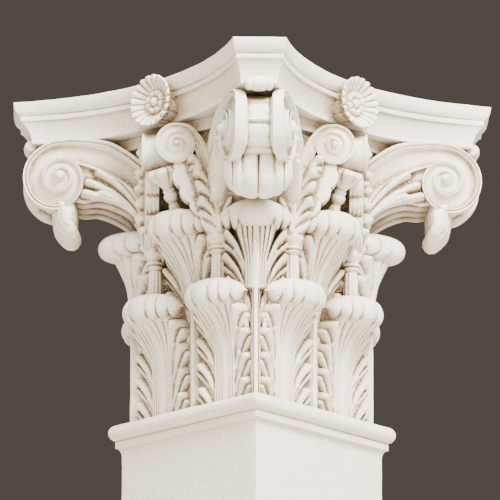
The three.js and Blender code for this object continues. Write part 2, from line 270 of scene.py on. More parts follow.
def vertex_values(mesh: bpy.types.Mesh) -> tuple[Array, Array]:
    """Places and normals of a mesh's vertices."""
    return tuple(values_of(mesh.vertices, name, 3, np.float32) for name in ("co", "normal"))


def give_values(mesh: bpy.types.Mesh, name: str, values: Array) -> None:
    """Stores one number for each vertex, which the finish reads by its name."""
    attribute = mesh.attributes.new(name, "FLOAT", "POINT")
    attribute.data.foreach_set("value", values.astype(np.float32))


@dataclass
class Carving:
    """Closed surfaces gathered in modules above the bed, which become one mesh."""

    grids: list[tuple[Array, bool]] = field(default_factory=list)

    def sheet(self, points: Array, ring: bool = False) -> "Carving":
        """Adds a grid of points. ring joins the last column to the first. Returns the carving."""
        self.grids.append((points, ring))
        return self

    def tube(self, rings: Array) -> "Carving":
        """Adds a stack of rings, with each end drawn together to a pole. Returns the carving."""
        ends = [np.broadcast_to(ring.mean(0), (1,) + ring.shape) for ring in (rings[0], rings[-1])]
        return self.sheet(np.concatenate([ends[0], rings, ends[1]]), ring=True)

    def slab(self, front: Array, back: Array) -> "Carving":
        """Adds a closed slab: the front, a wall from its edge to the back's edge, and a flat back.

        Args:
            front: grid of points.
            back: where the front's points would lie on the hidden back.

        Returns:
            The carving.
        """
        edge, behind = (np.concatenate([g[0], g[1:, -1], g[-1, -2::-1], g[-2:0:-1, 0]])
                        for g in (front, back))
        middle = np.broadcast_to(behind.mean(0), behind.shape)
        return self.sheet(front).sheet(np.stack([edge, behind, middle]), ring=True)

    def joined(self) -> tuple[Array, Array, Array]:
        """Points, quads and triangles of the welded surfaces, with every face turned outwards."""
        points, quads, start = [], [], 0
        for surface, ring in self.grids:
            rows, cols = surface.shape[:2]
            index = start + np.arange(rows * cols).reshape(rows, cols)
            after = np.roll(index, -1, 1) if ring else index[:, 1:]
            index = index if ring else index[:, :-1]
            corners = np.stack([index[:-1], after[:-1], after[1:], index[1:]], -1)
            quads.append(corners.reshape(-1, 4))
            points.append(surface.reshape(-1, 3))
            start += rows * cols
        mesh = filled_mesh("carving", np.concatenate(points), np.concatenate(quads), NO_TRIANGLES)
        shell = bmesh.new()
        shell.from_mesh(mesh)
        bmesh.ops.remove_doubles(shell, verts=shell.verts, dist=WELD)
        bmesh.ops.recalc_face_normals(shell, faces=shell.faces)
        shell.to_mesh(mesh)
        shell.free()
        result = mesh_arrays(mesh)
        bpy.data.meshes.remove(mesh)
        return result


@dataclass(frozen=True)
class Neighbours:
    """Which vertices of a mesh an edge joins."""

    first: Array
    second: Array
    count: int

    @classmethod
    def of(cls, mesh: bpy.types.Mesh) -> "Neighbours":
        """The neighbours in a mesh."""
        ends = values_of(mesh.edges, "vertices", 2)
        return cls(ends[:, 0], ends[:, 1], len(mesh.vertices))

    def mean(self, values: Array, times: int = 1) -> Array:
        """Each vertex's value replaced by the mean of its neighbours', a number of times."""
        around = sum(np.bincount(ends, minlength=self.count) for ends in (self.first, self.second))
        for _ in range(times):
            total = (np.bincount(self.first, values[self.second], self.count)
                     + np.bincount(self.second, values[self.first], self.count))
            values = total / np.maximum(around, 1)
        return values


def hollowness(mesh: bpy.types.Mesh, passes: int = 3) -> Array:
    """How sharply hollow the surface is at each point, 0 to 1, which the finish paints as warm
    shade in creases.

    The surface is smoothed by moving every point to the mean of its neighbours a number of times.
    Where the smoothed surface lies above the first one, along its normal, the first one is hollow.

    Args:
        mesh: the mesh, in modules.
        passes: how many times it is smoothed.

    Returns:
        One value for each point.
    """
    points, normals = vertex_values(mesh)
    neighbours = Neighbours.of(mesh)
    flat = np.stack([neighbours.mean(column, passes) for column in points.T], 1)
    depth = ((flat - points) * normals).sum(1) / HOLLOW_DEPTH
    return np.clip(0.5 * depth + 0.5 * neighbours.mean(depth), 0, 1)


def scattered(points: Array, triangles: Array, count: int) -> Array:
    """Places scattered evenly over a surface of triangles: each triangle gets its share by area."""
    random = np.random.default_rng(SCATTER_SEED)
    a, b, c = points[triangles].transpose(1, 0, 2)
    area = np.linalg.norm(np.cross(b - a, c - a), axis=1)
    chosen = np.searchsorted(np.cumsum(area) / area.sum(), random.random(count))
    chosen = chosen.clip(0, len(area) - 1)
    u, v = random.random((2, count, 1), np.float32)
    u, v = np.where(u + v > 1, 1 - u, u), np.where(u + v > 1, 1 - v, v)
    return a[chosen] + u * (b - a)[chosen] + v * (c - a)[chosen]


def shelter(points: Array, normals: Array, screen: Array, ways: int = 40, cell: float = 0.018,
            slack: float = 0.035, reach: float = 8.0) -> Array:
    """How much each point is shut in by the object round it, 0 to 1: the occlusion that the finish
    paints as shade.

    Directions are spread evenly over the sphere. Seen along each, the screen's places fall into
    square cells, and each cell keeps its nearest depth. A point is hidden in that direction where
    it lies deeper than its cell's nearest. The result is the hidden share of the directions in
    front of the surface, each weighted by the cosine of its angle to the normal.

    Args:
        points: the places to look at, in modules.
        normals: the surface's normals there.
        screen: places that hide others, dense over the whole object.
        ways: how many directions.
        cell: width of a cell.
        slack: how much deeper a point may lie and still be seen.
        reach: half the width of the field of cells, more than the object's own.

    Returns:
        One value for each point.
    """
    index = np.arange(ways) + 0.5
    height, angle = 1 - 2 * index / ways, math.pi * (1 + math.sqrt(5)) * index
    level = np.sqrt(1 - height**2)
    directions = np.stack([level * np.cos(angle), level * np.sin(angle), height], 1)
    width = int(2 * reach / cell)
    hidden, weight = np.zeros(len(points)), np.zeros(len(points))
    for way in directions.astype(np.float32):
        side = np.cross(way, (0, 0, 1))
        side /= np.linalg.norm(side)
        axes = np.stack([side, np.cross(side, way), way], 1).astype(np.float32)
        seen, looked = screen @ axes, points @ axes
        seen_cell, looked_cell = (((p[:, :2] + reach) / cell).astype(np.int32) @ (width, 1)
                                  for p in (seen, looked))
        nearest = np.full(width * width, -np.inf, np.float32)
        np.maximum.at(nearest, seen_cell, seen[:, 2])
        facing = np.clip(normals @ way, 0, None)
        hidden += facing * (nearest[looked_cell] > looked[:, 2] + slack)
        weight += facing
    return hidden / np.maximum(weight, 1e-6)


# ---------------------------------------------------------------- shading


class Wire:
    """An output socket, with operators that add Math nodes."""

    def __init__(self, nodes: "Nodes", socket: bpy.types.NodeSocket) -> None:
        """Wraps a socket of the tree that nodes builds."""
        self.nodes, self.socket = nodes, socket

    def _math(self, operation: str, first: Any, second: Any) -> "Wire":
        """The result of a Math node on two values."""
        return self.nodes.make("ShaderNodeMath", {"operation": operation}, {0: first, 1: second})

    def __add__(self, other: Any) -> "Wire":
        """Sum."""
        return self._math("ADD", self, other)

    def __sub__(self, other: Any) -> "Wire":
        """Difference."""
        return self._math("SUBTRACT", self, other)

    def __rsub__(self, other: Any) -> "Wire":
        """Difference, from the other."""
        return self._math("SUBTRACT", other, self)

    def __mul__(self, other: Any) -> "Wire":
        """Product."""
        return self._math("MULTIPLY", self, other)

    __radd__, __rmul__ = __add__, __mul__

    def clamped(self) -> "Wire":
        """Value kept between 0 and 1."""
        return self.nodes.make("ShaderNodeClamp", {}, {0: self})


class Nodes:
    """The node tree of one material or world."""

    def __init__(self, tree: bpy.types.NodeTree) -> None:
        """Starts on an empty tree."""
        self.tree = tree
        tree.nodes.clear()

    def make(self, kind: str, settings: dict[str, Any], inputs: dict[Any, Any],
             output: Any = 0) -> Wire:
        """Adds a node.

        Args:
            kind: the node's type.
            settings: its properties, set before its sockets.
            inputs: values or wires, by the socket's name or number.
            output: name or number of the socket that the result wraps.

        Returns:
            The wrapped output socket.
        """
        node = self.tree.nodes.new(kind)
        for name, value in settings.items():
            setattr(node, name, value)
        for name, value in inputs.items():
            if isinstance(value, Wire):
                self.tree.links.new(value.socket, node.inputs[name])
            else:
                node.inputs[name].default_value = value
        return Wire(self, node.outputs[output] if len(node.outputs) else None)

    def noise(self, coordinates: Wire, scale: float, detail: float, roughness: float = 0.5) -> Wire:
        """Noise about 0.5 at a number of waves for each metre."""
        inputs = {"Vector": coordinates, "Scale": scale, "Detail": detail, "Roughness": roughness}
        return self.make("ShaderNodeTexNoise", {}, inputs)

    def blend(self, share: Wire, first: Any, second: Any) -> Wire:
        """Colour between two colours."""
        return self.make("ShaderNodeMix", {"data_type": "RGBA"}, {0: share, 6: first, 7: second}, 2)


def linear(red: int, green: int, blue: int) -> Colour:
    """Linear colour from display values of 0 to 255."""
    values = (np.array([red, green, blue]) / 255) ** 2.2
    return (*values.tolist(), 1.0)


def new_material(name: str) -> tuple[bpy.types.Material, Nodes]:
    """A material and its empty node tree."""
    material = bpy.data.materials.new(name)
    material.use_nodes = True
    return material, Nodes(material.node_tree)


@dataclass(frozen=True)
class StoneWithPaintedShade:
    """Cast stone: pale faces, sandy grain and faint clouds, and painted shade in hollows and
    recesses.

    The colour goes from face to hollow, a painted warm shade, and on to deep, a painted dark shade,
    by the attributes hollow and shelter that the pieces carry. Noise makes the shade's edge uneven
    and gives random tone, and specks of the grain lie over it.
    """

    name: str
    slot: str
    face: Colour
    speck: Colour
    # painted shade: hollow is the warm tan shade of creases, and deep is the dark brown shade of
    # deep recesses
    hollow: Colour = linear(205, 189, 162)
    deep: Colour = linear(118, 98, 70)
    grain: float = 330.0        # waves of the grain, the pits and the clouds for each metre
    pits: float = 120.0
    clouds: float = 9.0
    relief: float = 0.0008      # height of the grain in metres
    roughness: float = 0.8

    def material(self) -> bpy.types.Material:
        """The finish as a material."""
        material, nodes = new_material(self.name)
        place = nodes.make("ShaderNodeTexCoord", {}, {}, "Object")
        grain = nodes.noise(place, self.grain, 2.0, 0.6)
        pits = nodes.noise(place, self.pits, 3.0, 0.55)
        clouds = nodes.noise(place, self.clouds, 3.0)
        hollow, shelter = (nodes.make("ShaderNodeAttribute", {"attribute_name": name}, {}, "Fac")
                           for name in ("hollow", "shelter"))
        uneven = (clouds - 0.5) * 0.3 + (pits - 0.5) * 0.6
        # painted shade: warm tan where the surface is hollow or sheltered, over random tone from
        # the clouds and pits, and dark brown in the most sheltered recesses
        warm = (hollow * 0.8 + shelter * 1.25 + uneven - 0.16).clamped()
        dark = (shelter * 1.7 + hollow * 1.1 - 0.74).clamped()
        specks = ((grain - 0.50) * 6.0).clamped() * 0.8
        colour = nodes.blend(warm, self.face, self.hollow)
        colour = nodes.blend(dark, colour, self.deep)
        colour = nodes.blend(specks, colour, self.speck)
        bump = {"Strength": 0.8, "Distance": self.relief, "Height": grain * 0.6 + pits * 0.5}
        normal = nodes.make("ShaderNodeBump", {}, bump)
        rough = (grain - 0.5) * 0.2 + self.roughness
        inputs = {"Base Color": colour, "Roughness": rough, "Normal": normal,
                  "Specular IOR Level": 0.3}
        shader = nodes.make("ShaderNodeBsdfPrincipled", {}, inputs)
        nodes.make("ShaderNodeOutputMaterial", {}, {"Surface": shader})
        return material


CAST_STONE = StoneWithPaintedShade("cast_stone_with_painted_shade", "cast_stone", face=linear(244, 238, 226),
                         speck=linear(208, 194, 168))
PIER_STONE = StoneWithPaintedShade("pier_stone_with_painted_shade", "pier_stone", face=linear(239, 230, 215),
                         speck=linear(206, 192, 168))


def linked(name: str, data: bpy.types.ID) -> bpy.types.Object:
    """A new object in the scene that shows a mesh, light or camera."""
    item = bpy.data.objects.new(name, data)
    bpy.context.scene.collection.objects.link(item)
    return item


class Workshop:
    """Turns carvings into finished pieces of the object."""

    def __init__(self, setting: Setting) -> None:
        """Prepares the finishes once."""
        self.setting = setting
        self.materials: dict[str, bpy.types.Material] = {}
        self.pieces: list[bpy.types.Object] = []

    def piece(self, name: str, node: str, finish: StoneWithPaintedShade, carving: Carving, repeat: Repeat,
              crease: float = 38.0) -> bpy.types.Object:
        """Repeats a carving round the block and makes it a piece that stands for a node.

        Args:
            name: the piece's name.
            node: the node of the frame that it stands for.
            finish: its stone.
            carving: its closed surfaces.
            repeat: how it is repeated.
            crease: edges sharper than this angle, in degrees, stay crisp.

        Returns:
            The new object.
        """
        points, quads, triangles = carving.joined()
        base = filled_mesh(name, points, quads, triangles)
        hollow = hollowness(base)
        bpy.data.meshes.remove(base)
        copies = [(points, quads, triangles)]
        if repeat is Repeat.PAIRS:
            copies.append((points * np.array([-1, 1, 1]), quads[:, ::-1], triangles[:, ::-1]))
        turns = 1 if repeat is Repeat.ONCE else 4
        placed = [(turned(p, k), q, t) for k in range(turns) for p, q, t in copies]
        starts = np.arange(len(placed)) * len(points)
        everything = self.setting.metres(np.concatenate([p for p, _, _ in placed]))
        faces = (np.concatenate([copy[kind] + start for copy, start in zip(placed, starts)])
                 for kind in (1, 2))
        mesh = filled_mesh(name, everything, *faces)
        soften(mesh)
        # hollowness, which the finish paints as shade in creases
        give_values(mesh, "hollow", np.tile(hollow, len(placed)))
        mesh.shade_smooth()
        mesh.set_sharp_from_angle(angle=math.radians(crease))
        piece = linked(name, mesh)
        if finish.name not in self.materials:
            self.materials[finish.name] = finish.material()
        mesh.materials.append(self.materials[finish.name])
        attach(piece, "root")
        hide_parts(node)
        self.pieces.append(piece)
        count = len(placed) * (2 * len(quads) + len(triangles))
        LOG.info("%s: %d triangles, %s", name, count, repeat.value)
        return piece

    def paint_recess_shade(self) -> None:
        """Stores how sheltered each point of each piece is by all the pieces together, for the
        painted shade in recesses.
        """
        places, normals, corners, start = [], [], [], 0
        bed, module = np.float32([0, 0, self.setting.bed]), np.float32(self.setting.module)
        for piece in self.pieces:
            points, directions = vertex_values(piece.data)
            piece.data.calc_loop_triangles()
            corners.append(values_of(piece.data.loop_triangles, "vertices", 3) + start)
            places.append((points - bed) / module)
            normals.append(directions)
            start += len(points)
        together = np.concatenate(places)
        screen = scattered(together, np.concatenate(corners), SCREEN_PLACES)
        values = shelter(together, np.concatenate(normals), screen)
        ends = np.cumsum([len(points) for points in places])[:-1]
        for piece, value in zip(self.pieces, np.split(values, ends)):
            around = Neighbours.of(piece.data).mean(value, 2)
            give_values(piece.data, "shelter", 0.4 * value + 0.6 * around)
            LOG.info("%s: sheltered %.2f on average", piece.name, value.mean())


def turned(points: Array, quarters: int) -> Array:
    """Points turned round the axis by quarter turns."""
    angle = quarters * math.pi / 2
    c, s = round(math.cos(angle)), round(math.sin(angle))
    return points @ np.array([[c, s, 0], [-s, c, 0], [0, 0, 1]], float)


def soften(mesh: bpy.types.Mesh) -> None:
    """Moves each point along its normal by under a millimetre, so that no face is dead flat."""
    points, normals = vertex_values(mesh)
    swell = sum(height * undulation(points, wave, seed) for height, wave, seed in SWELLS)
    mesh.vertices.foreach_set("co", (points + normals * swell[:, None]).astype(np.float32).ravel())
    mesh.update()


# ---------------------------------------------------------------- pier head, bell and abacus


def square_ring(count: int) -> tuple[Array, Array]:
    """Unit square with rounded corners, anticlockwise from above.

    Each side runs from corner to corner, and each corner is an arc. The result gives the
    direction of the arc's centre, as signs, and the unit vector of the arc, so that any half-width
    can be filled in.

    Args:
        count: points on each side.

    Returns:
        Factors of the half-width less the radius, and unit vectors to be scaled by the radius.
    """
    along = np.linspace(-1, 1, count)
    arc = np.linspace(-math.pi / 2, 0, 7)[1:-1]
    centre = np.concatenate([np.stack([along, -np.ones(count)], 1),
                             np.tile([1.0, -1.0], (len(arc), 1))])
    unit = np.concatenate([np.tile([0.0, -1.0], (count, 1)),
                           np.stack([np.cos(arc), np.sin(arc)], 1)])
    return four_sides(centre), four_sides(unit)


def four_sides(side: Array) -> Array:
    """Points of one side of a ring, followed by those of the three others."""
    second = side @ QUARTER_TURN
    third = second @ QUARTER_TURN
    return np.concatenate([side, second, third, third @ QUARTER_TURN], -2)


def at_heights(plan: Array, z: Array) -> Array:
    """Rings of x and y, each set at its own height."""
    return np.concatenate([plan, np.broadcast_to(z[:, None, None], plan.shape[:2] + (1,))], 2)


def square_stack(half: Array, z: Array, radius: Array, count: int = 24) -> Array:
    """Rings of rounded squares, from half-widths, heights and corner radii."""
    centre, unit = square_ring(count)
    plan = centre[None] * (half - radius)[:, None, None] + unit[None] * radius[:, None, None]
    return at_heights(plan, z)


@dataclass(frozen=True)
class PierHead:
    """Top of the square pier: shaft, apophyge, fillet and torus. Sizes in modules."""

    torus_radius: float = 0.094
    torus_centre: float = 1.025
    fillet_half: float = 1.053
    fillet_top: float = -0.188
    fillet_foot: float = -0.262
    apophyge: float = 0.10
    arris: float = 0.012

    def profile(self) -> Array:
        """Half-width and height up the pier: straight, quarter hollow, fillet and half round."""
        turn = np.linspace(0, math.pi / 2, 9)
        hollow = np.stack([1 + (self.fillet_half - 1) * (1 - np.cos(turn)),
                           self.fillet_foot - self.apophyge * (1 - np.sin(turn))], 1)
        round_turn = np.linspace(-math.pi / 2, math.pi / 2, 17)
        torus = np.stack([self.torus_centre + self.torus_radius * np.cos(round_turn),
                          self.torus_radius * (np.sin(round_turn) - 1)], 1)
        shaft_top = self.fillet_foot - self.apophyge * 1.05
        shaft = np.stack([np.ones(24), np.linspace(-PIER_LENGTH, shaft_top, 24)], 1)
        fillet = np.array([[self.fillet_half, self.fillet_foot + 0.004],
                           [self.fillet_half, self.fillet_top - 0.004]])
        seat = np.array([[0.9, -0.0005]])
        return np.concatenate([shaft, hollow, fillet, torus, seat])

    def carve(self) -> Carving:
        """Rounded squares up the profile."""
        half, z = self.profile().T
        radius = self.arris + 0.5 * np.maximum(half - self.fillet_half, 0)
        return Carving().tube(square_stack(half, z, radius))


@dataclass(frozen=True)
class Bell:
    """Wall behind the leaves: upright, then flaring to a rim band under the abacus."""

    foot: float = 0.86
    flare: float = 1.21
    rim: float = 1.25
    rim_foot: float = 2.99
    rim_top: float = 3.14
    flare_from: float = 1.7

    def half(self, z: Array) -> Array:
        """Half-width at a height: the foot's, plus an eased share of the flare."""
        share = smooth(self.flare_from, self.rim_top, z) ** 1.3
        return self.foot + (self.flare - self.foot) * share

    def carve(self) -> Carving:
        """Rounded squares up the wall, then the rim band."""
        z = np.linspace(0.001, self.rim_foot, 44)
        half = self.half(z)
        band = np.array([[self.rim - 0.01, self.rim_foot + 0.004], [self.rim, self.rim_foot + 0.02],
                         [self.rim, self.rim_top - 0.02], [self.rim - 0.02, self.rim_top]])
        half, z = np.append(half, band[:, 0]), np.append(z, band[:, 1])
        return Carving().tube(square_stack(half, z, 0.12 + 0.25 * smooth(1.5, 3.0, z)))


@dataclass(frozen=True)
class Abacus:
    """Slab on top: four hollow sides with cut corners; cove, fillet and ovolo. Sizes in modules."""

    tip: float = 2.06
    shoulder: float = 1.66
    waist: float = 1.55
    foot: float = 3.129
    cove_top: float = 3.367
    fillet_top: float = 3.425
    foot_inset: float = 0.21
    fillet_inset: float = 0.08

    def profile(self) -> Array:
        """Inset and height up the edge: quarter hollow, fillet, quarter round and top."""
        t = np.linspace(0, 1, 14)
        inner = self.fillet_inset + 0.022
        cove = np.stack([inner + (self.foot_inset - inner) * (1 - t**1.9),
                         self.foot + (self.cove_top - self.foot) * t], 1)
        fillet = np.array([[self.fillet_inset + 0.004, self.cove_top + 0.004],
                           [self.fillet_inset, self.cove_top + 0.010],
                           [self.fillet_inset, self.fillet_top - 0.006],
                           [self.fillet_inset + 0.01, self.fillet_top]])
        rise = np.linspace(0, math.pi / 2, 12)
        low, high = self.fillet_top + 0.004, ABACUS_TOP - 0.012
        ovolo = np.stack([self.fillet_inset * (1 - np.sin(rise)) + 0.004,
                          low + (high - low) * (1 - np.cos(rise)) ** 0.8], 1)
        crown = np.array([[0.0, high], [0.003, ABACUS_TOP - 0.004], [0.012, ABACUS_TOP],
                          [0.5, ABACUS_TOP]])
        return np.concatenate([[[0.6, self.foot]], cove, fillet, ovolo[:-1], crown])

    def plan(self, inset: Array, count: int = 56) -> Array:
        """Plan at each inset: a side is an arc between its shoulders, a corner is a straight cut.

        Args:
            inset: how far the outline lies inside the largest one, one value for each ring.
            count: points along a side.

        Returns:
            Rings of x and y.
        """
        inset = inset[:, None]
        tip, shoulder = self.tip - inset, self.shoulder - inset * (math.sqrt(2) - 1)
        sag = self.tip - self.waist
        radius = (shoulder**2 + sag**2) / (2 * sag)
        x = np.linspace(-1, 1, count)[None] * shoulder
        y = -(tip - sag + radius - np.sqrt(radius**2 - x**2))
        cut = np.linspace(0, 1, 9)[None, 1:-1]
        x = np.concatenate([x, shoulder + (tip - shoulder) * cut], 1)
        y = np.concatenate([y, -tip + (tip - shoulder) * cut], 1)
        return four_sides(np.stack([x, y], -1))

    def carve(self) -> Carving:
        """The profile carried round the plan."""
        inset, z = self.profile().T
        return Carving().tube(at_heights(self.plan(inset), z))


# ---------------------------------------------------------------- leaves


@dataclass(frozen=True)
class Finger:
    """One finger of a leaf: a curve from root to tip, pulled towards a bend. Places are pairs."""

    root: Pair
    bend: Pair
    tip: Pair
    root_radius: float
    tip_radius: float
    lift: float                 # how far the tip stands off

    def height(self, x: Array, z: Array) -> Array:
        """Height of the finger over a field of places.

        The nearest point of the curve is found on its short straight steps. The finger is a round
        back across its radius there, which grows towards the tip, on a foot that rises to the tip.

        Args:
            x: first coordinates.
            z: second coordinates.

        Returns:
            The height, below zero outside the finger.
        """
        s = np.linspace(0, 1, 13)[:, None]
        root, bend, tip = (np.array(p) for p in (self.root, self.bend, self.tip))
        curve = (1 - s) ** 2 * root + 2 * s * (1 - s) * bend + s**2 * tip
        step = np.diff(curve, axis=0)
        offset = np.stack([x, z], -1)[..., None, :] - curve[:-1]
        t = np.clip((offset * step).sum(-1) / (step**2).sum(-1), 0, 1)
        distance = np.linalg.norm(offset - t[..., None] * step, axis=-1)
        nearest = distance.argmin(-1)[..., None]
        along = (nearest[..., 0] + np.take_along_axis(t, nearest, -1)[..., 0]) / len(step)
        radius = self.root_radius + (self.tip_radius - self.root_radius) * along**1.3
        q = np.take_along_axis(distance, nearest, -1)[..., 0] / radius
        crown = radius * 0.75 * dome(q) ** 1.5 - 0.012 * crest(q, 0, 0.25) * smooth(0.1, 0.6, along)
        foot = 0.018 + self.lift * along**2 * (1 - 0.55 * np.clip(q, 0, 1) ** 2)
        return np.where(q < 1, foot + crown, foot - (foot - OUTSIDE) * smooth(1.0, 1.9, q))


# Fingers of a lobe: share of its reach, drop of the tip, length, radius and lift of the tip.
LOBE_FINGERS = (
    (0.55, -0.055, 0.42, 0.027, 0.050), (0.84, 0.0, 0.58, 0.045, 0.100),
    (0.98, 0.075, 0.46, 0.030, 0.060), (0.90, 0.130, 0.34, 0.022, 0.040))
OUTSIDE = -0.1              # height of the carving beyond its edge, inside the wall
BODY_HEIGHT = 0.022
STEM_HALF = 0.054
MIDRIB_HALF = 0.046


@dataclass(frozen=True)
class Leaf:
    """Acanthus leaf: a fluted blade with side lobes, whose tip rolls over. Sizes in modules."""

    foot: float                 # height at which the blade starts to lean
    roll_z: float
    roll_out: float
    reach: float                # radii of the rolled tip, outwards and upwards
    rise: float
    half: float
    lobe_tips: tuple[float, ...]
    lobe_reach: tuple[float, ...]
    stem_top: float = -1.0      # below this height the leaf is a bare stem
    wall: float = 0.86
    blade_rows: int = 92
    blade_cols: int = 92
    pull: float = 0.17          # how far the ends of the roll draw back
    lobe_depth: float = 0.36    # how much the grooves between the lobes narrow the roll
    plump: float = 3.4          # power that squares off the ends of the roll
    flatten: float = 1.1        # how much less the sides lean out than the middle
    lobes: tuple[float, ...] = (0.0, 0.30, 0.56, 0.79, 1.0)

    def fingers(self) -> list[Finger]:
        """Four fingers to a lobe: a thick hooded one on top, then shorter and finer ones below."""
        fingers = []
        for tip_z, reach in zip(self.lobe_tips, self.lobe_reach):
            for share, drop, length, radius, lift in LOBE_FINGERS:
                tip = (reach * share, tip_z - drop)
                root = (0.075 + 0.11 * (share - 0.6) + 0.025 * (drop > 0.05), tip_z - drop - length)
                bend = (root[0] + 0.16 * (tip[0] - root[0]), tip[1] - 0.42 * length)
                fingers.append(Finger(root, bend, tip, 0.018, radius, lift))
        return fingers

    def relief(self, x: Array, z: Array) -> Array:
        """Height of the carving over the wall: the highest of body, midrib, flutes and fingers."""
        side = np.abs(x)
        body_half = STEM_HALF + 0.14 * smooth(self.stem_top - 0.10, self.stem_top + 0.12, z)
        height = BODY_HEIGHT - 0.11 * smooth(0.0, 0.05, side - body_half)
        for finger in self.fingers():
            height = np.maximum(height, finger.height(side, z))
        for tip_z in self.lobe_tips:
            height = height - 0.05 * crest(side, 0.105, 0.012) * crest(z, tip_z - 0.16, 0.04)
        midrib = 0.070 + 0.006 * dome(side / 0.03) - 0.022 * crest(side, 0.034, 0.006)
        midrib = midrib - 0.16 * smooth(MIDRIB_HALF, MIDRIB_HALF + 0.014, side)
        width = 0.032 + 0.05 * smooth(self.roll_z - 0.55, self.roll_z - 0.05, z)
        flute = (side - 0.05) / width
        flutes = 0.038 + (0.016 + 0.5 * width) * arches(flute) - 0.16 * smooth(3.0, 3.4, flute)
        flutes = np.where(z > self.stem_top, flutes, OUTSIDE)
        return np.maximum(np.maximum(height, flutes), midrib)

    def lean(self, x: Array, z: Array) -> Array:
        """How far the blade leans out: the fifth power of its height, less at the sides."""
        neck_z = self.roll_z - 0.85 * self.rise
        neck_out = self.roll_out + 0.3 * self.reach
        climb = np.minimum(np.clip((z - self.foot) / (neck_z - self.foot), 0, 1.1) ** 5, 1.05)
        middle = np.clip(1 - self.flatten * (x / self.half) ** 2, 0, 1)
        return (neck_out - self.wall - 0.07) * climb * middle

    def blade(self, place: Place) -> tuple[Array, Array]:
        """Front of the blade, and where its points would lie deep in the wall."""
        up, across = grid(self.blade_rows, self.blade_cols, -1, 1)
        z = 0.002 + (self.roll_z - 0.002) * up
        x = (0.75 * across + 0.25 * across**3) * (self.half + 0.02)
        out = self.wall + self.relief(x, z) + self.lean(x, z)
        return place(x, out, z), place(x * 0.9, np.full_like(out, self.wall - 0.2), z)

    def rolled_tip(self, place: Place) -> Array:
        """The rolled tip as rings across the leaf.

        A section is an oval in the upright plane, drawn back to the wall behind and hollowed under
        the lip. Its size falls to nothing at the ends. Lobes swell and narrow it, most at the lip,
        and spread towards the lip.

        Args:
            place: puts across, out and z into the block.

        Returns:
            Rings from the left end to the right.
        """
        t, turn = grid(69, 41)
        t = np.sin((2 * t[:, :-1] - 1) * math.pi / 2)
        turn = turn[:, :-1] * 2 * math.pi
        lobe = np.interp(np.abs(t), self.lobes, [0.5, 1, 2, 3, 4])
        back = (1 - np.cos(turn)) / 2
        top = smooth(0.3, 1.0, np.sin(turn))
        bulge = 1 - self.lobe_depth * (1 - 0.75 * top) * (1 - arches(lobe) ** 0.55)
        size = np.clip(1 - np.abs(t) ** self.plump, 0, 1) ** 0.5 * bulge
        below = np.clip(-np.sin(turn), 0, 1)
        lip = 0.07 * below * (arches(lobe) - 0.6) * (1 - back)
        hollow = (1 - 0.75 * smooth(0.45, 0.9, back) * (below > 0)) * (1 - 0.14 * below)
        out = self.roll_out - self.pull * t**2 + self.reach * size * np.cos(turn) * (1 + 0.5 * back)
        z = self.roll_z + self.rise * size * np.sin(turn) * hollow - lip
        return place(t * self.half * (1 - 0.16 * back - 0.06 * below), out, z)

    def carve(self, place: Place) -> Carving:
        """Blade and rolled tip."""
        return Carving().slab(*self.blade(place)).tube(self.rolled_tip(place))


# ---------------------------------------------------------------- scrolls


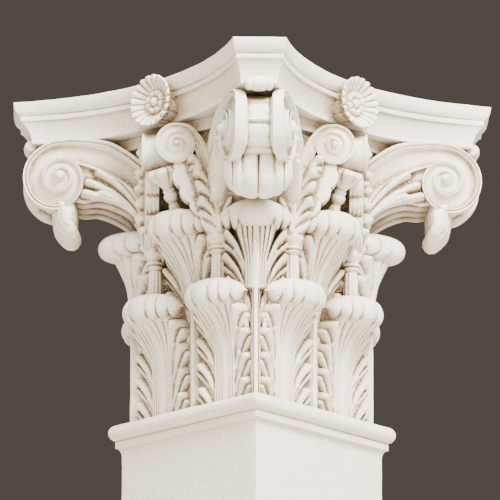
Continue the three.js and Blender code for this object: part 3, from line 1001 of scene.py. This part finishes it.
@dataclass(frozen=True)
class Scroll:
    """Band that winds inwards to an eye after an arm. Places are pairs in the scroll's plane."""

    eye: Pair
    radii: tuple[float, ...]            # radius at each quarter turn from the top
    outer_arm: tuple[Pair, ...]
    inner_arm: tuple[Pair, ...]
    hand: float                         # 1 where the outer end lies along +u of the eye, else -1
    half: Width
    place: Place
    flange: float = 0.1
    recess: float = 0.045
    depth: float = 0.075
    swell: float = 0.10                 # how far the eye stands out from the rim's plane
    band_cols: int = 17
    rim_cols: int = 29
    steps_from: float = 0.0
    step: float = 0.03                  # depth of the lines across the rim
    step_height: float = 0.145
    arm_rows: int = 44
    turn_rows: int = 56

    def radius(self, turn: Array) -> Array:
        """Radius after a number of turns, on a smooth curve through the quarter turns."""
        table = np.stack([np.arange(len(self.radii)) / 4, self.radii], 1)
        curve = through(table, 400)
        return np.interp(turn, curve[:, 0], curve[:, 1], right=0.0)

    def spiral(self, turn: Array) -> Array:
        """Points of the spiral: it starts at the top and turns towards the outer end."""
        angle = 2 * math.pi * turn
        u = self.eye[0] + self.hand * self.radius(turn) * np.sin(angle)
        return np.stack([u, self.eye[1] + self.radius(turn) * np.cos(angle)], -1)

    def edges(self) -> tuple[Array, Array, Array]:
        """Outer edge, inner edge and turns along the band, from the arm's root to the eye."""
        turns = np.linspace(0, 3, 3 * self.turn_rows + 1)
        outer, inner = self.spiral(turns), self.spiral(turns + 1)
        arm_outer = through(self.outer_arm + (tuple(outer[0]),), self.arm_rows)[:-1]
        arm_inner = through(self.inner_arm + (tuple(inner[0]),), self.arm_rows)[:-1]
        arm_turns = np.linspace(-1, 0, self.arm_rows)[:-1]
        return (np.vstack([arm_outer, outer]), np.vstack([arm_inner, inner]),
                np.append(arm_turns, turns))

    def across(self) -> Array:
        """Shares across the band, closer together at the fillet."""
        return np.linspace(0, 1, self.band_cols) ** 1.2

    def channel(self, v: Array) -> Array:
        """Share of the channel's depth across the band: a groove in the fillet, then a hollow."""
        hollow = np.sin(math.pi * np.clip((v - 0.2) / 0.8, 0, 1)) ** 0.5
        return hollow + 0.4 * crest(v, 0.12, 0.035) * (v > 0)

    def stand_out(self, points: Array, turns: Array) -> Array:
        """How far the turns stand out from the cheek: a cone to the eye, from past the arm."""
        away = np.linalg.norm(points - np.array(self.eye), axis=-1)
        return self.swell * np.clip(1 - away / self.radii[0], 0, 1) * smooth(-0.3, 0.4, turns)

    def cheek(self, sign: float) -> Array:
        """Side of the scroll: a double fillet and a hollow channel across the band.

        The band is a straight line from its outer to its inner edge at each row. The channel is a
        sine curve, as deep as the band is wide allows, and the turns rise towards the eye.

        Args:
            sign: 1 for the right side, -1 for the left.

        Returns:
            Grid of points, rows along the band and columns across it.
        """
        outer, inner, turns = self.edges()
        v = self.across()[None]
        points = outer[:, None] + (inner - outer)[:, None] * v[..., None]
        width = np.linalg.norm(inner - outer, axis=1)[:, None]
        depth = np.minimum(self.depth, width * 0.4)
        side = (self.half(points[..., 0]) + self.stand_out(points, turns[:, None])
                - depth * self.channel(v))
        return self.place(points[..., 0], sign * side, points[..., 1])

    def rim(self) -> Array:
        """Edge band from cheek to cheek, sunk between two flanges, with steps down its front.

        Returns:
            Grid of points, rows along the outer edge and columns from the left cheek to the right.
        """
        outer, _, turns = self.edges()
        keep = turns <= 1
        outer, turns = outer[keep], turns[keep]
        inward = headings(outer) @ np.array([[0, -1], [1, 0]]) * self.hand
        a = np.linspace(-1, 1, self.rim_cols)[None]
        half = self.half(outer[:, 0])[:, None]
        from_edge = half * (1 - np.abs(a))
        fade = (smooth(-0.97, -0.85, turns) * (1 - smooth(0.9, 0.99, turns)))[:, None]
        drop = (outer[:, 1][:, None] - self.steps_from) / self.step_height % 1
        lines = self.step * (0.4 * drop + crest(drop, 0, 0.07) + crest(drop, 1, 0.07))
        steps = lines * (smooth(0.02, 0.08, turns) * (1 - smooth(0.38, 0.45, turns)))[:, None]
        sunk = self.recess * smooth(self.flange - 0.012, self.flange + 0.012, from_edge) * fade
        sunk = sunk + steps * smooth(self.flange, self.flange + 0.03, from_edge) * fade
        points = outer[:, None] + inward[:, None] * sunk[..., None]
        half = half + self.stand_out(outer, turns)[:, None]
        return self.place(points[..., 0], a * half, points[..., 1])

    def closings(self) -> list[Array]:
        """Underside of the arm, and the cut at its root."""
        outer, inner, turns = self.edges()
        arm = turns <= 0
        a = np.linspace(-1, 1, self.rim_cols)[None]
        under = inner[arm]
        under_half = (self.half(under[:, 0]) + self.stand_out(under, turns[arm]))[:, None]
        v = self.across()[:, None]
        root = outer[0] + (inner[0] - outer[0]) * v
        width = np.linalg.norm(inner[0] - outer[0])
        root_half = self.half(root[:, :1]) - min(self.depth, width * 0.4) * self.channel(v)
        return [self.place(under[:, :1], a * under_half, under[:, 1:]),
                self.place(root[:, :1], a * root_half, root[:, 1:])]

    def boss(self, radius: float, height: float) -> Array:
        """Round eye on both cheeks: rings from one side through to the other."""
        turn = angles(24)
        s = np.linspace(0, 1, 8)[:, None]
        half = float(self.half(np.array(self.eye[0])))
        ring = radius * np.sqrt(1 - s**2 * 0.98)
        side = half + self.swell * 0.75 + height * s
        reach = np.concatenate([ring[::-1], ring])
        sides = np.concatenate([-side[::-1], side])
        return self.place(self.eye[0] + reach * np.cos(turn), sides,
                          self.eye[1] + reach * np.sin(turn))

    def carve(self, carving: Carving) -> None:
        """Adds the closed scroll to a carving."""
        for surface in (self.cheek(1), self.cheek(-1), self.rim(), *self.closings()):
            carving.sheet(surface)
        carving.tube(self.boss(0.12 * self.radii[0], 0.1 * self.radii[0]))


@dataclass(frozen=True)
class Sheath:
    """Leafy sheath that fills the space under an arm: fingers on both cheeks, ribs below."""

    top: tuple[Pair, ...]
    bottom: tuple[Pair, ...]
    fingers: tuple[Finger, ...]
    half: Width
    place: Place
    ribs: int = 3
    rows: int = 60
    cols: int = 32
    sink: float = 0.07          # how far the ground of the sheath lies inside the scroll's cheeks
    rib_depth: float = 0.03
    scallops: int = 0           # round tips along the lower edge

    def edges(self) -> tuple[Array, Array]:
        """Lower edge, pushed out in a row of round arches, and upper edge."""
        low, high = through(self.bottom, self.rows), through(self.top, self.rows)
        away = (low - high) / np.linalg.norm(low - high, axis=1)[:, None]
        share = np.linspace(0, 1, self.rows)[:, None]
        return low + away * 0.05 * (arches(self.scallops * share) if self.scallops else 0), high

    def cheek(self, sign: float) -> Array:
        """Side: straight lines from the lower edge to the upper one, raised by the fingers."""
        low, high = (edge[:, None] for edge in self.edges())
        q = np.linspace(0, 1, self.cols)[None, :, None]
        points = low + (high - low) * q
        u, v = points[..., 0], points[..., 1]
        height = np.zeros_like(u)
        for finger in self.fingers:
            height = np.maximum(height, finger.height(u, v))
        edge = faded(q[..., 0], 0.06)
        ends = faded(np.linspace(0, 1, self.rows), 0.03)
        side = self.half(u) - self.sink + (height + 0.012) * edge * ends[:, None]
        return self.place(u, sign * side, v)

    def band(self, line: Array, depth: float) -> Array:
        """Band from cheek to cheek along an edge, with ribs along it."""
        a = np.linspace(-1, 1, 25)[None]
        wave = depth * (1 - np.cos(2 * math.pi * self.ribs * (a + 1) / 2)) / 2
        along = np.linspace(0, 1, self.rows)[:, None]
        wave = wave * faded(along, 0.05)
        half = self.half(line[:, :1]) - self.sink
        return self.place(line[:, :1], a * half, line[:, 1:] + wave)

    def end(self, index: int) -> Array:
        """Cap between the lower and upper edges at one end."""
        low, high = (edge[index] for edge in self.edges())
        q = np.linspace(0, 1, self.cols)[:, None]
        line = low + (high - low) * q
        a = np.linspace(-1, 1, 25)[None]
        side = a * (self.half(line[:, :1]) - self.sink)
        return self.place(line[:, :1], side, line[:, 1:])

    def carve(self, carving: Carving) -> None:
        """Adds the closed sheath to a carving."""
        low, high = self.edges()
        for surface in (self.cheek(1), self.cheek(-1), self.band(low, self.rib_depth),
                        self.band(high, 0.0), self.end(0), self.end(-1)):
            carving.sheet(surface)


def volute_half(d: Array) -> Array:
    """Half-width of a corner volute, which widens towards the bell."""
    return 0.25 + 0.23 * np.maximum(0, 2.4 - d)


VOLUTE_ARM = ((0.97, 2.36), (1.074, 2.62), (1.239, 2.85), (1.555, 3.08), (1.9, 3.148))
VOLUTE_CHANNEL = ((1.08, 2.12), (1.2, 2.36), (1.41, 2.585), (1.711, 2.774), (1.921, 2.857),
                  (1.99, 2.884))
VOLUTE_ARCH = ((0.98, 1.70), (1.06, 1.88), (1.147, 2.07), (1.235, 2.17), (1.417, 2.337),
               (1.667, 2.435), (1.85, 2.42), (2.02, 2.46))
VOLUTE_SHEATH_TOP = ((0.90, 1.9), (1.0, 2.14), (1.13, 2.36), (1.40, 2.62), (1.7, 2.80),
                     (1.92, 2.88), (2.05, 2.84))
# Root and tip of each finger that climbs along the arch and spreads towards the eye.
VOLUTE_FINGERS = (((1.0, 1.85), (1.12, 2.50)), ((1.03, 1.93), (1.24, 2.62)),
                  ((1.07, 1.99), (1.38, 2.69)), ((1.11, 2.05), (1.53, 2.73)),
                  ((1.16, 2.10), (1.68, 2.75)), ((1.20, 2.14), (1.80, 2.64)),
                  ((1.25, 2.20), (1.84, 2.52)), ((1.28, 2.23), (1.66, 2.50)))


def volute_fingers() -> tuple[Finger, ...]:
    """The fingers of the sheath, each bent up from its root before it turns to its tip."""
    fingers = []
    for (ru, rv), (du, dv) in VOLUTE_FINGERS:
        bend = (ru + 0.30 * (du - ru), rv + 0.62 * (dv - rv) + 0.03)
        fingers.append(Finger((ru, rv), bend, (du, dv), 0.016, 0.042, 0.06))
    return tuple(fingers)


@dataclass(frozen=True)
class Volute:
    """Corner volute: scroll, sheath, hanging curl and the little roll above."""

    curl_line: tuple[Pair, ...] = ((2.06, 2.54), (2.05, 2.32), (2.03, 2.17), (1.96, 2.07),
                                   (1.87, 2.08))
    curl_heart: Pair = (2.02, 2.27)
    curl_half: float = 0.37
    knob_at: Pair = (2.43, 3.125)
    knob_radius: float = 0.085
    knob_half: float = 0.15

    def scroll(self) -> Scroll:
        """The scroll with its arm."""
        return Scroll(eye=(2.112, 2.72),
                      radii=(0.425, 0.402, 0.368, 0.25, 0.2, 0.19, 0.175, 0.125, 0.085, 0.07, 0.05,
                             0.03, 0.0),
                      outer_arm=VOLUTE_ARM, inner_arm=VOLUTE_CHANNEL, hand=1.0, half=volute_half,
                      place=on_diagonal, flange=0.12, recess=0.07, steps_from=2.39)

    def sheath(self) -> Sheath:
        """The leafy sheath under the arm."""
        return Sheath(VOLUTE_SHEATH_TOP, VOLUTE_ARCH, volute_fingers(), volute_half,
                      on_diagonal)

    def curl(self) -> Array:
        """Leaf tip that hangs under the scroll and hooks in, as rings across it.

        A section is a thick hooked line: down its outer side and back up its inner side. Towards
        the ends it shrinks to its root under the scroll, and lobes swell and narrow its thickness.

        Returns:
            Rings from the left end to the right.
        """
        t, turn = grid(65, 49)
        t = np.sin((2 * t[:, :-1] - 1) * math.pi / 2)
        turn = turn[:, :-1]
        along = 1 - np.abs(2 * turn - 1)
        line = through(self.curl_line, 200)
        at = np.linspace(0, 1, len(line))
        u, z, du, dz = (np.interp(along, at, c) for c in (*line.T, *headings(line).T))
        lobe = np.interp(np.abs(t), [0, 0.46, 0.74, 0.90, 1.0], [0, 1, 2, 3, 4])
        bulge = 0.6 + 0.4 * arches(lobe) ** 0.7
        thick = np.interp(along, [0, 0.3, 0.6, 0.85, 1], [0.13, 0.15, 0.135, 0.085, 0.0]) * bulge
        side = np.where(turn < 0.5, -1, 1)
        end = np.clip(1 - np.abs(t) ** 2.6, 0, 1) ** 0.5
        heart = self.curl_heart
        u = heart[0] + end * (u + side * thick * dz - heart[0])
        z = heart[1] + end * (z - side * thick * du - heart[1])
        return on_diagonal(u, t * self.curl_half, z)

    def knob(self) -> Array:
        """Little roll: a turned form along the side direction, with a bead at each end."""
        a = np.linspace(-1, 1, 41)[:, None]
        turn = angles(24)
        size = dome(a * 0.995) ** 0.35 * (1 - 0.16 * crest(np.abs(a), 0.52, 0.09))
        reach = self.knob_radius * size
        return on_diagonal(self.knob_at[0] + reach * np.cos(turn), -a * self.knob_half,
                           self.knob_at[1] + reach * np.sin(turn))

    def carve(self) -> Carving:
        """Everything at one corner."""
        carving = Carving()
        self.scroll().carve(carving)
        self.sheath().carve(carving)
        return carving.tube(self.curl()).tube(self.knob())


HELIX_APEX = 1.52
HELIX_CHEEKS = (-0.1, 0.144)            # the two cheeks, to the side of the plane through the apex
# Reach up and across of a stalk leaf's side fingers, with the radius and lift of their tips.
HELIX_SIDE_FINGERS = ((-0.19, 0.30, 0.046, 0.07), (-0.19, 0.17, 0.030, 0.04),
                      (0.13, 0.32, 0.046, 0.07), (0.16, 0.19, 0.030, 0.04))


def even(half: float) -> Width:
    """Half-width that is the same all along."""
    return lambda u: half + 0 * u


@dataclass(frozen=True)
class Helix:
    """Inner scroll at the middle of a face, with the sheath leaf that carries it."""

    foot: Pair = (0.69, 1.84)               # midrib of the sheath leaf
    bend: Pair = (0.68, 2.25)
    head: Pair = (0.40, 2.66)
    outer_edge: tuple[Pair, ...] = ((0.77, 1.84), (0.83, 2.1), (0.88, 2.36), (0.86, 2.58),
                                    (0.66, 2.74))
    inner_edge: tuple[Pair, ...] = ((0.62, 1.84), (0.47, 2.06), (0.30, 2.32), (0.22, 2.56),
                                    (0.34, 2.72))

    def scroll(self) -> Scroll:
        """The scroll and its band down to the stalk."""
        low, high = HELIX_CHEEKS
        return Scroll(eye=(0.223, 2.835),
                      radii=(0.23, 0.226, 0.218, 0.20, 0.135, 0.118, 0.102, 0.078, 0.055, 0.045,
                             0.034, 0.02, 0.0),
                      outer_arm=((0.70, 2.06), (0.665, 2.36), (0.60, 2.66), (0.50, 2.89),
                                 (0.36, 3.04)),
                      inner_arm=((0.52, 2.06), (0.51, 2.36), (0.46, 2.64), (0.39, 2.83),
                                 (0.31, 2.93)),
                      hand=-1.0, half=even((high - low) / 2),
                      place=on_helix(HELIX_APEX, (low + high) / 2), flange=0.03, recess=0.02,
                      depth=0.025, swell=0.05, band_cols=13, step=0.0, rim_cols=17, arm_rows=30,
                      turn_rows=40)

    def sheath(self) -> Sheath:
        """Leaf that stands on the stalk and opens under the scroll."""
        foot, bend, head = (np.array(point) for point in (self.foot, self.bend, self.head))
        fingers = [Finger(self.foot, self.bend, self.head, 0.03, 0.032, 0.05)]
        for share in (0.05, 0.27, 0.49, 0.71):
            at = (1 - share) ** 2 * foot + 2 * share * (1 - share) * bend + share**2 * head
            reach = 1 - 0.3 * share
            for du, dv, radius, lift in HELIX_SIDE_FINGERS:
                side_bend = (at[0] + 0.2 * du, at[1] + 0.6 * dv)
                tip = (at[0] + du * reach, at[1] + dv * reach)
                fingers.append(Finger(tuple(at), side_bend, tip, 0.016, radius, lift))
        return Sheath(self.outer_edge, self.inner_edge, tuple(fingers), even(0.12),
                      on_helix(HELIX_APEX, 0.03), rows=44, cols=30, sink=0.05, rib_depth=0.008,
                      scallops=5)

    def carve(self) -> Carving:
        """Scroll and sheath leaf."""
        carving = Carving()
        self.scroll().carve(carving)
        self.sheath().carve(carving)
        return carving


# ---------------------------------------------------------------- turned pieces


def turned_rings(foot: Sequence[float], head: Sequence[float], along: Array,
                 radius: Array) -> Array:
    """Rings about a leaning axis.

    Args:
        foot: foot of the axis.
        head: head of the axis.
        along: share of the axis at each ring.
        radius: radius at each ring and angle.

    Returns:
        Rings of points.
    """
    foot, head = np.array(foot, float), np.array(head, float)
    axis = (head - foot) / np.linalg.norm(head - foot)
    across = np.array([1.0, 0.0, 0.0])
    side = np.cross(axis, across)
    turn = angles(radius.shape[1]).T
    spokes = np.cos(turn) * across + np.sin(turn) * side
    return foot + along[:, None, None] * (head - foot) + radius[..., None] * spokes


@dataclass(frozen=True)
class Stalk:
    """Fluted stalk between the leaves, with two rings and a cup above."""

    offset: float = 0.47
    out: float = 1.03
    foot: float = 1.15
    top: float = 1.98
    radius: float = 0.075

    def carve(self) -> Carving:
        """Rings up the stalk: flutes below, a double ring, then a fluted cup."""
        z = np.linspace(self.foot, self.top, 64)
        turn = angles(40)
        flutes = 0.16 * (np.abs(np.cos(5 * turn)) - 0.5) * (z[:, None] < 1.62)
        profile = np.interp(z, [self.foot, 1.60, 1.63, 1.655, 1.675, 1.695, 1.72, 1.74, 1.80,
                                1.90, self.top],
                            [1.1, 0.9, 0.9, 1.35, 1.0, 1.6, 1.15, 1.2, 1.7, 1.55, 1.1])
        petals = 0.16 * (np.abs(np.cos(3 * turn)) - 0.6) * smooth(1.74, 1.8, z)[:, None]
        radius = self.radius * (profile[:, None] + flutes + petals)
        along = (z - self.foot) / (self.top - self.foot)
        foot, head = ((self.offset, -self.out, end) for end in (self.foot, self.top))
        return Carving().tube(turned_rings(foot, head, along, radius))


@dataclass(frozen=True)
class Bud:
    """Bud on a stalk that leans out under the two helices."""

    foot: Pair = (1.16, 2.08)
    head: Pair = (1.42, 2.62)

    def carve(self) -> Carving:
        """Rings up the leaning axis: flared foot, neck, ball, ring and opening petals."""
        s = np.linspace(0, 1, 70)
        profile = np.interp(s, [0, 0.15, 0.34, 0.40, 0.47, 0.53, 0.57, 0.61, 0.66, 0.78, 0.92, 1.0],
                            [0.10, 0.07, 0.05, 0.075, 0.085, 0.065, 0.075, 0.06, 0.075, 0.13,
                             0.18, 0.15])
        petals = np.abs(np.cos(3 * angles(48))) - 0.6
        radius = profile[:, None] * (1 + 0.22 * petals * smooth(0.62, 0.8, s)[:, None])
        foot, head = ((0, -out, z) for out, z in (self.foot, self.head))
        return Carving().tube(turned_rings(foot, head, s, radius))


@dataclass(frozen=True)
class Fleuron:
    """Flower at the middle of each side of the abacus: ridged petals, beads and a button."""

    face: float = 1.62
    back: float = 1.15
    centre: float = 3.342
    radius: float = 0.29
    petals: int = 20
    beads: int = 8

    def carve(self) -> Carving:
        """Rings from the back of the body, out over the rim and in across the flower."""
        turn = angles(140)
        petal = arches(self.petals * turn / (2 * math.pi))
        flute = arches(self.petals / 2 * turn / (2 * math.pi))
        s = np.linspace(0, 1, 14)[:, None]
        body_out = self.back + (self.face - 0.07 - self.back) * s + 0 * turn
        body_reach = self.radius * (0.66 + 0.14 * s) * (0.93 + 0.07 * flute)
        q = np.linspace(0, 1, 30)[:, None]
        tip = self.radius * (0.94 + 0.06 * petal)
        reach = tip * (1 - q) + 0.135 * q
        ridge = 0.05 * petal * smooth(1.15, 0.25, q)
        face_out = self.face - 0.075 * q + ridge - 0.03 * (1 - smooth(0, 0.08, q)) - 0.03
        heart = np.linspace(0, 1, 26)[:, None]
        heart_reach = 0.135 * (1 - heart) + 0 * turn
        bead = arches(self.beads * turn / (2 * math.pi))
        ring = 0.06 * dome((heart_reach - 0.100) / 0.036) * (0.25 + 0.75 * bead)
        button = 0.075 * dome(heart_reach / 0.058)
        heart_out = self.face - 0.105 + np.maximum(ring, button)
        out = np.concatenate([body_out, face_out, heart_out])
        reach = np.concatenate([body_reach, reach, heart_reach])
        z = self.centre + reach * np.sin(turn)
        return Carving().tube(np.stack([reach * np.cos(turn), -out, z], -1))


# ---------------------------------------------------------------- stage


FLOOR_HALF = 14.0           # metres
SENSOR = 36.0               # width of the camera's sensor, in millimetres
LIGHTS_HEIGHT = 1.8         # height that the lights face, above the bed, in modules
WORLD_LIGHT = (0.235, 0.19, 0.145, 1.0)
BACKDROP = linear(86, 78, 72)
FLOOR_COLOUR = linear(205, 200, 192)


def direction(azimuth: float, elevation: float) -> Vector:
    """Unit vector at degrees round from the front, to the right, and degrees above the level."""
    around, above = math.radians(azimuth), math.radians(elevation)
    level = math.cos(above)
    return Vector((math.sin(around) * level, -math.cos(around) * level, math.sin(above)))


@dataclass(frozen=True)
class Softbox:
    """Rectangular studio light that faces the capital. Sizes in metres, angles in degrees."""

    name: str
    azimuth: float
    elevation: float
    distance: float
    size: float
    power: float
    colour: tuple[float, float, float]

    def place(self, target: Vector) -> None:
        """Sets up the light, turned towards the target."""
        light = bpy.data.lights.new(self.name, "AREA")
        light.shape, light.size = "SQUARE", self.size
        light.energy, light.color = self.power, self.colour
        lamp = linked(self.name, light)
        way = direction(self.azimuth, self.elevation)
        lamp.location = target + way * self.distance
        lamp.rotation_euler = (-way).to_track_quat("-Z", "Y").to_euler()


@dataclass(frozen=True)
class Studio:
    """Pale floor, dark backdrop, soft lights and the camera low in front of the right corner."""

    lights: tuple[Softbox, ...] = (
        Softbox("key", 72, 40, 3.6, 1.3, 600, (1.0, 0.97, 0.93)),
        Softbox("front", 26, 36, 4.6, 1.4, 210, (1.0, 0.955, 0.90)),
        Softbox("fill", -48, 8, 4.2, 3.0, 36, (1.0, 0.93, 0.86)),
    )
    target_height: float = 2.008            # above the bed, in modules
    distance: float = 58.52
    azimuth: float = 43.161
    elevation: float = -16.33
    lens: float = 384.2
    shift: Pair = (-0.0038, -0.002)

    def camera(self, setting: Setting) -> None:
        """Long lens from below, with its back direction set by the two angles."""
        camera = bpy.data.cameras.new("camera")
        camera.lens, camera.sensor_width = self.lens, SENSOR
        camera.shift_x, camera.shift_y = self.shift
        camera.clip_end = 100.0
        holder = linked("camera", camera)
        back = direction(self.azimuth, self.elevation)
        target = Vector((0, 0, setting.bed + self.target_height * setting.module))
        holder.location = target + back * self.distance * setting.module
        holder.rotation_euler = back.to_track_quat("Z", "Y").to_euler()
        bpy.context.scene.camera = holder

    def floor(self) -> None:
        """Pale floor that is seen only from above, because the camera stands lower than it."""
        points = np.array([[-1, -1, 0], [1, -1, 0], [1, 1, 0], [-1, 1, 0]]) * FLOOR_HALF
        mesh = filled_mesh("floor", points, np.array([[0, 1, 2, 3]]), NO_TRIANGLES)
        material, nodes = new_material("floor")
        under = nodes.make("ShaderNodeNewGeometry", {}, {}, "Backfacing")
        pale = nodes.make("ShaderNodeBsdfDiffuse", {}, {"Color": FLOOR_COLOUR})
        clear = nodes.make("ShaderNodeBsdfTransparent", {}, {})
        surface = nodes.make("ShaderNodeMixShader", {}, {0: under, 1: pale, 2: clear})
        nodes.make("ShaderNodeOutputMaterial", {}, {"Surface": surface})
        mesh.materials.append(material)
        floor = linked("floor", mesh)

    def backdrop(self) -> None:
        """Dark taupe all round as the camera sees it, and a brighter warm light for the stone."""
        world = bpy.data.worlds.new("studio")
        world.use_nodes = True
        bpy.context.scene.world = world
        nodes = Nodes(world.node_tree)
        seen = nodes.make("ShaderNodeLightPath", {}, {}, "Is Camera Ray")
        colour = nodes.blend(seen, WORLD_LIGHT, BACKDROP)
        surface = nodes.make("ShaderNodeBackground", {}, {"Color": colour, "Strength": 1.0})
        nodes.make("ShaderNodeOutputWorld", {}, {"Surface": surface})

    def build(self, setting: Setting) -> None:
        """Sets up the whole studio."""
        self.camera(setting)
        self.floor()
        self.backdrop()
        target = Vector((0, 0, setting.bed + LIGHTS_HEIGHT * setting.module))
        for light in self.lights:
            light.place(target)


# ---------------------------------------------------------------- the capital


LOWER_LEAF = Leaf(foot=0.0, roll_z=1.155, roll_out=1.17, reach=0.2, rise=0.165, half=0.415,
                  lobe_tips=(0.19, 0.46, 0.73, 0.98), lobe_reach=(0.375, 0.39, 0.39, 0.36))
MIDDLE_LEAF = Leaf(foot=0.35, roll_z=1.99, roll_out=1.275, reach=0.2, rise=0.17, half=0.43,
                   stem_top=1.2, lobe_tips=(1.34, 1.60, 1.84), lobe_reach=(0.38, 0.40, 0.39),
                   pull=0.2, blade_rows=130, blade_cols=104)
CORNER_LEAF = Leaf(foot=0.35, roll_z=1.985, roll_out=0.985, reach=0.208, rise=0.16, half=0.66,
                   stem_top=1.2, lobe_tips=(1.32, 1.58, 1.82), lobe_reach=(0.50, 0.55, 0.53),
                   pull=0.05, blade_rows=130, blade_cols=104, plump=2.8, flatten=0.8,
                   lobe_depth=0.17, lobes=(0.0, 0.44, 0.64, 0.82, 1.0))
LOWER_OFFSET = 0.465        # of a lower leaf from the middle of its face
CORNER_FOLD = 0.26


def carvings() -> list[tuple[str, Carving, Repeat]]:
    """Name, carving and repeat of every piece of the capital."""
    return [
        ("bell", Bell().carve(), Repeat.ONCE),
        ("abacus", Abacus().carve(), Repeat.ONCE),
        ("lower_leaves", LOWER_LEAF.carve(on_face(LOWER_OFFSET)), Repeat.PAIRS),
        ("middle_leaves", MIDDLE_LEAF.carve(on_face(0.0)), Repeat.SIDES),
        ("corner_leaves", CORNER_LEAF.carve(round_corner(CORNER_FOLD)), Repeat.SIDES),
        ("stalks", Stalk().carve(), Repeat.PAIRS),
        ("volutes", Volute().carve(), Repeat.SIDES),
        ("helices", Helix().carve(), Repeat.PAIRS),
        ("buds", Bud().carve(), Repeat.SIDES),
        ("fleurons", Fleuron().carve(), Repeat.SIDES),
    ]


def main() -> None:
    """Builds the pieces in order and sets up the studio."""
    logging.basicConfig(level=logging.INFO, format="%(message)s")
    setting = Setting.from_frame()
    workshop = Workshop(setting)
    workshop.piece("pier_head_stone", "pier_head", PIER_STONE, PierHead().carve(), Repeat.ONCE)
    for name, carving, repeat in carvings():
        workshop.piece(name, "capital", CAST_STONE, carving, repeat)
    workshop.paint_recess_shade()
    Studio().build(setting)


if __name__ == "__main__":
    main()
